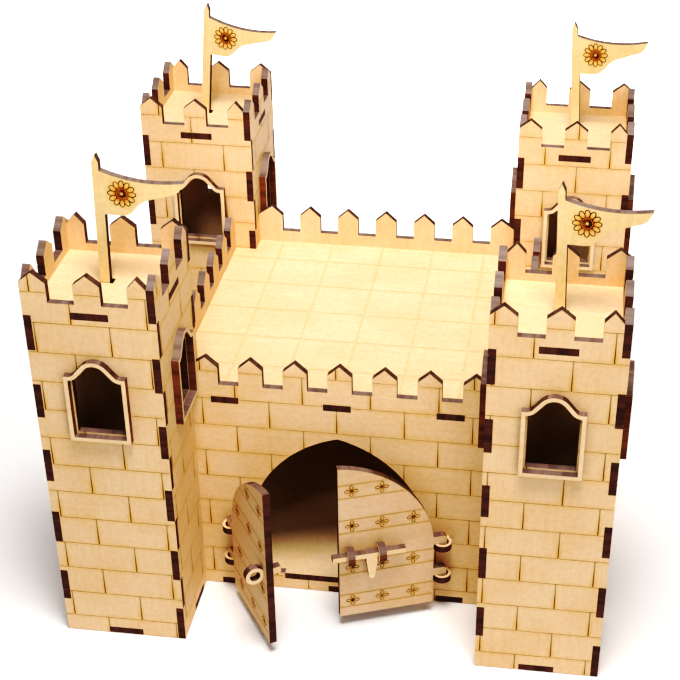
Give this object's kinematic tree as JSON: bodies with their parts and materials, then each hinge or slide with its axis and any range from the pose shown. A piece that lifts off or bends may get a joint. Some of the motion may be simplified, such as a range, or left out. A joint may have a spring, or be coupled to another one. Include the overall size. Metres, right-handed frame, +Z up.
{
  "type": "toy castle",
  "caption": "Toy castle of finger-jointed plywood: corner towers with flags, battlemented walls, a flat deck, and a pointed gateway with swinging doors and a sliding bolt.",
  "frame": {"origin": "centre of the castle's plan on the ground", "axes": "+X to the right seen from the gateway's side, +Y to the back, +Z up"},
  "size_m": [0.2273, 0.2215, 0.2055],
  "materials": {
    "wall_ply": "bare laser-cut plywood with burnt edges and engraved stone joints",
    "deck_ply": "bare laser-cut plywood, lightly engraved",
    "trim_ply": "bare laser-cut plywood with burnt edges"
  },
  "bodies": {
    "castle": {"base_plate": "deck_ply", "floor_plate": "deck_ply", "front_wall": "wall_ply", "back_wall": "wall_ply", "left_wall": "wall_ply", "right_wall": "wall_ply", "roof_deck": "deck_ply", "front_left_tower_front_wall": "wall_ply", "front_left_tower_right_wall": "wall_ply", "front_left_tower_back_wall": "wall_ply", "front_left_tower_left_wall": "wall_ply", "front_left_tower_front_window_frame": "trim_ply", "front_left_tower_right_window_frame": "trim_ply", "front_left_tower_back_window_frame": "trim_ply", "front_left_tower_left_window_frame": "trim_ply", "front_left_tower_roof": "deck_ply", "front_left_tower_floor": "deck_ply", "front_left_tower_flag": "wall_ply", "front_right_tower_front_wall": "wall_ply", "front_right_tower_right_wall": "wall_ply", "front_right_tower_back_wall": "wall_ply", "front_right_tower_left_wall": "wall_ply", "front_right_tower_front_window_frame": "trim_ply", "front_right_tower_right_window_frame": "trim_ply", "front_right_tower_back_window_frame": "trim_ply", "front_right_tower_left_window_frame": "trim_ply", "front_right_tower_roof": "deck_ply", "front_right_tower_floor": "deck_ply", "front_right_tower_flag": "wall_ply", "back_left_tower_front_wall": "wall_ply", "back_left_tower_right_wall": "wall_ply", "back_left_tower_back_wall": "wall_ply", "back_left_tower_left_wall": "wall_ply", "back_left_tower_front_window_frame": "trim_ply", "back_left_tower_right_window_frame": "trim_ply", "back_left_tower_back_window_frame": "trim_ply", "back_left_tower_left_window_frame": "trim_ply", "back_left_tower_roof": "deck_ply", "back_left_tower_floor": "deck_ply", "back_left_tower_flag": "wall_ply", "back_right_tower_front_wall": "wall_ply", "back_right_tower_right_wall": "wall_ply", "back_right_tower_back_wall": "wall_ply", "back_right_tower_left_wall": "wall_ply", "back_right_tower_front_window_frame": "trim_ply", "back_right_tower_right_window_frame": "trim_ply", "back_right_tower_back_window_frame": "trim_ply", "back_right_tower_left_window_frame": "trim_ply", "back_right_tower_roof": "deck_ply", "back_right_tower_floor": "deck_ply", "back_right_tower_flag": "wall_ply", "left_hinge_rings": "trim_ply", "right_hinge_rings": "trim_ply"},
    "right_door": {"right_door": "wall_ply", "bolt_guides": "trim_ply"},
    "left_door": {"left_door": "wall_ply", "keeper_ring": "trim_ply"},
    "bolt": {"bolt": "wall_ply"}
  },
  "joints": [
    {"name": "right_door_swing", "type": "hinge", "parent": "castle", "child": "right_door", "pos_m": [0.0428, -0.073, 0], "axis": [0, 0, 1], "range_deg": [-21.5, 73.5]},
    {"name": "left_door_swing", "type": "hinge", "parent": "castle", "child": "left_door", "pos_m": [-0.0462, -0.073, 0], "axis": [0, 0, -1], "range_deg": [-57, 38]},
    {"name": "bolt_slide", "type": "slide", "parent": "right_door", "child": "bolt", "axis": [-0.9304, -0.3665, 0], "range_m": [-0.0003, 0.0047]}
  ]
}
